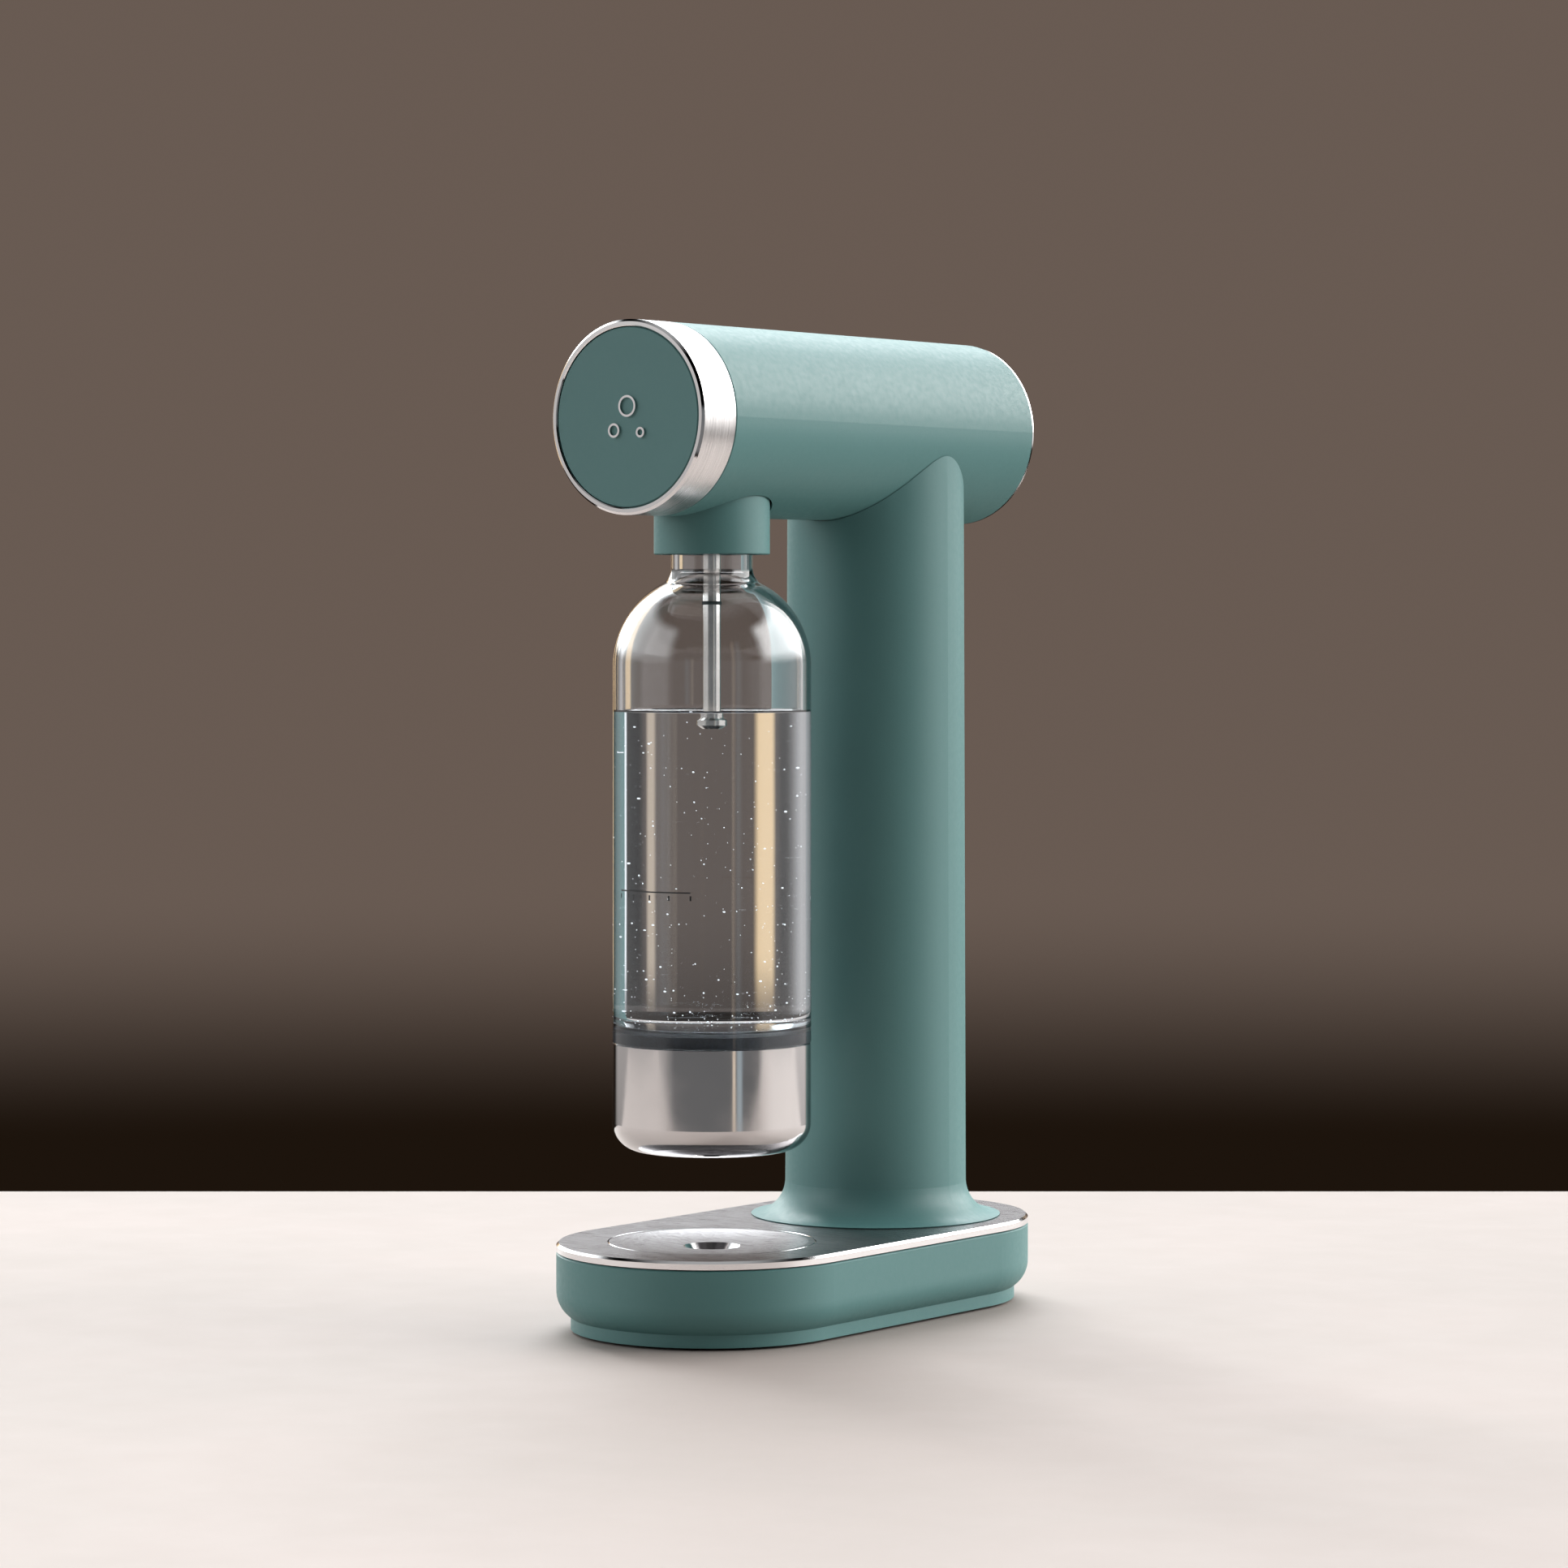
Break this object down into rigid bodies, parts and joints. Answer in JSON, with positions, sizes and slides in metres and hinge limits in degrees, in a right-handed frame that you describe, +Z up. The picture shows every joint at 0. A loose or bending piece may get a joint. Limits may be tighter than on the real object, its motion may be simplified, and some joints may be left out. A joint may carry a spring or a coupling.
{
  "type": "soda carbonator",
  "caption": "Free-standing manual soda carbonator: a head tube on a column holds a clear bottle over a drip tray, with a knob that opens the gas valve.",
  "frame": {"origin": "middle of the base, on the surface that the feet stand on", "axes": "+Z up, the knob and the bottle face -Y, X is across the machine"},
  "size_m": [0.13, 0.252, 0.424],
  "materials": {
    "painted_body": "matt teal green enamel",
    "base_steel": "long straight brushing, polished bevel",
    "bright_trim": "polished",
    "satin_aluminium": "satin, with a polished bevel",
    "clear_bottle": "clear",
    "cup_steel": "polished stainless steel",
    "nozzle_steel": "polished stainless steel",
    "black_rubber": "matt",
    "dark_plastic": "moulded",
    "cast_metal": "die cast",
    "cylinder_metal": "grey lacquer",
    "brass": "turned",
    "plain_steel": "zinc plated",
    "gas_tube": "extruded"
  },
  "bodies": {
    "stand": {"base_shell": "painted_body", "column_shell": "painted_body", "head_tube": "painted_body", "rear_cap": "painted_body", "base_top_plate": "base_steel", "rear_trim_ring": "bright_trim", "rubber_feet": "black_rubber", "plate_gasket": "black_rubber", "cylinder_pad": "black_rubber", "receiver_seal": "black_rubber", "base_bottom_cover": "dark_plastic", "cylinder_hatch": "dark_plastic", "drip_pan": "dark_plastic", "lower_cylinder_guide": "dark_plastic", "upper_cylinder_guide": "dark_plastic", "front_bush": "dark_plastic", "rear_bush": "dark_plastic", "head_frame": "cast_metal", "front_bulkhead": "cast_metal", "hinge_bracket": "cast_metal", "gas_receiver": "cast_metal", "co2_cylinder": "cylinder_metal", "cylinder_valve": "brass", "receiver_union": "brass", "base_screws": "plain_steel", "hatch_screws": "plain_steel", "column_screws": "plain_steel", "frame_screws": "plain_steel", "knob_stop_pins": "plain_steel", "hinge_pin": "plain_steel", "plunger_spring": "plain_steel", "knob_return_spring": "plain_steel", "gas_hose": "gas_tube"},
    "knob": {"knob_ring": "satin_aluminium", "knob_disc": "painted_body", "knob_mark": "bright_trim", "knob_hub": "dark_plastic", "drive_shaft": "plain_steel", "shaft_clip": "plain_steel", "valve_cam": "cast_metal"},
    "plunger": {"valve_plunger": "plain_steel", "valve_pin": "plain_steel"},
    "holder": {"bottle_collar": "painted_body", "nozzle_block": "dark_plastic", "bottle_seal": "black_rubber", "relief_valve": "brass", "hose_union": "brass", "nozzle_tube": "nozzle_steel", "nozzle_tip": "nozzle_steel", "nozzle_ring": "black_rubber"},
    "lock": {"lock_ring": "dark_plastic"},
    "bottle": {"bottle_body": "clear_bottle", "bottle_floor": "clear_bottle", "bottle_shoulder": "clear_bottle", "bottle_neck": "clear_bottle", "bottle_base_cup": "cup_steel"},
    "tray": {"drip_tray": "base_steel"}
  },
  "joints": [
    {"name": "knob_turn", "type": "hinge", "parent": "stand", "child": "knob", "pos_m": [0, -0.1, 0.3835], "axis": [0, 1, 0], "range_deg": [0, 45], "stiffness_Nm_per_rad": 0.2, "springref_deg": -17.19},
    {"name": "valve_push", "type": "slide", "parent": "stand", "child": "plunger", "axis": [0, 0, -1], "range_m": [0, 0.0024], "deforming": ["plunger_spring"]},
    {"name": "bottle_tilt", "type": "hinge", "parent": "stand", "child": "holder", "pos_m": [0, -0.087, 0.3485], "axis": [-1, 0, 0], "range_deg": [0, 22]},
    {"name": "bottle_turn", "type": "hinge", "parent": "holder", "child": "lock", "pos_m": [0, -0.06, 0.335], "axis": [0, 0, 1], "range_deg": [0, 60]},
    {"name": "bottle_drop", "type": "slide", "parent": "lock", "child": "bottle", "axis": [0, 0, -1], "range_m": [0, 0.024]},
    {"name": "tray_lift", "type": "slide", "parent": "stand", "child": "tray", "axis": [0, 0, 1], "range_m": [0, 0.012]}
  ],
  "couplings": [
    {"joint": "valve_push", "follows": "knob_turn", "m_per_rad": 0.0029285}
  ]
}
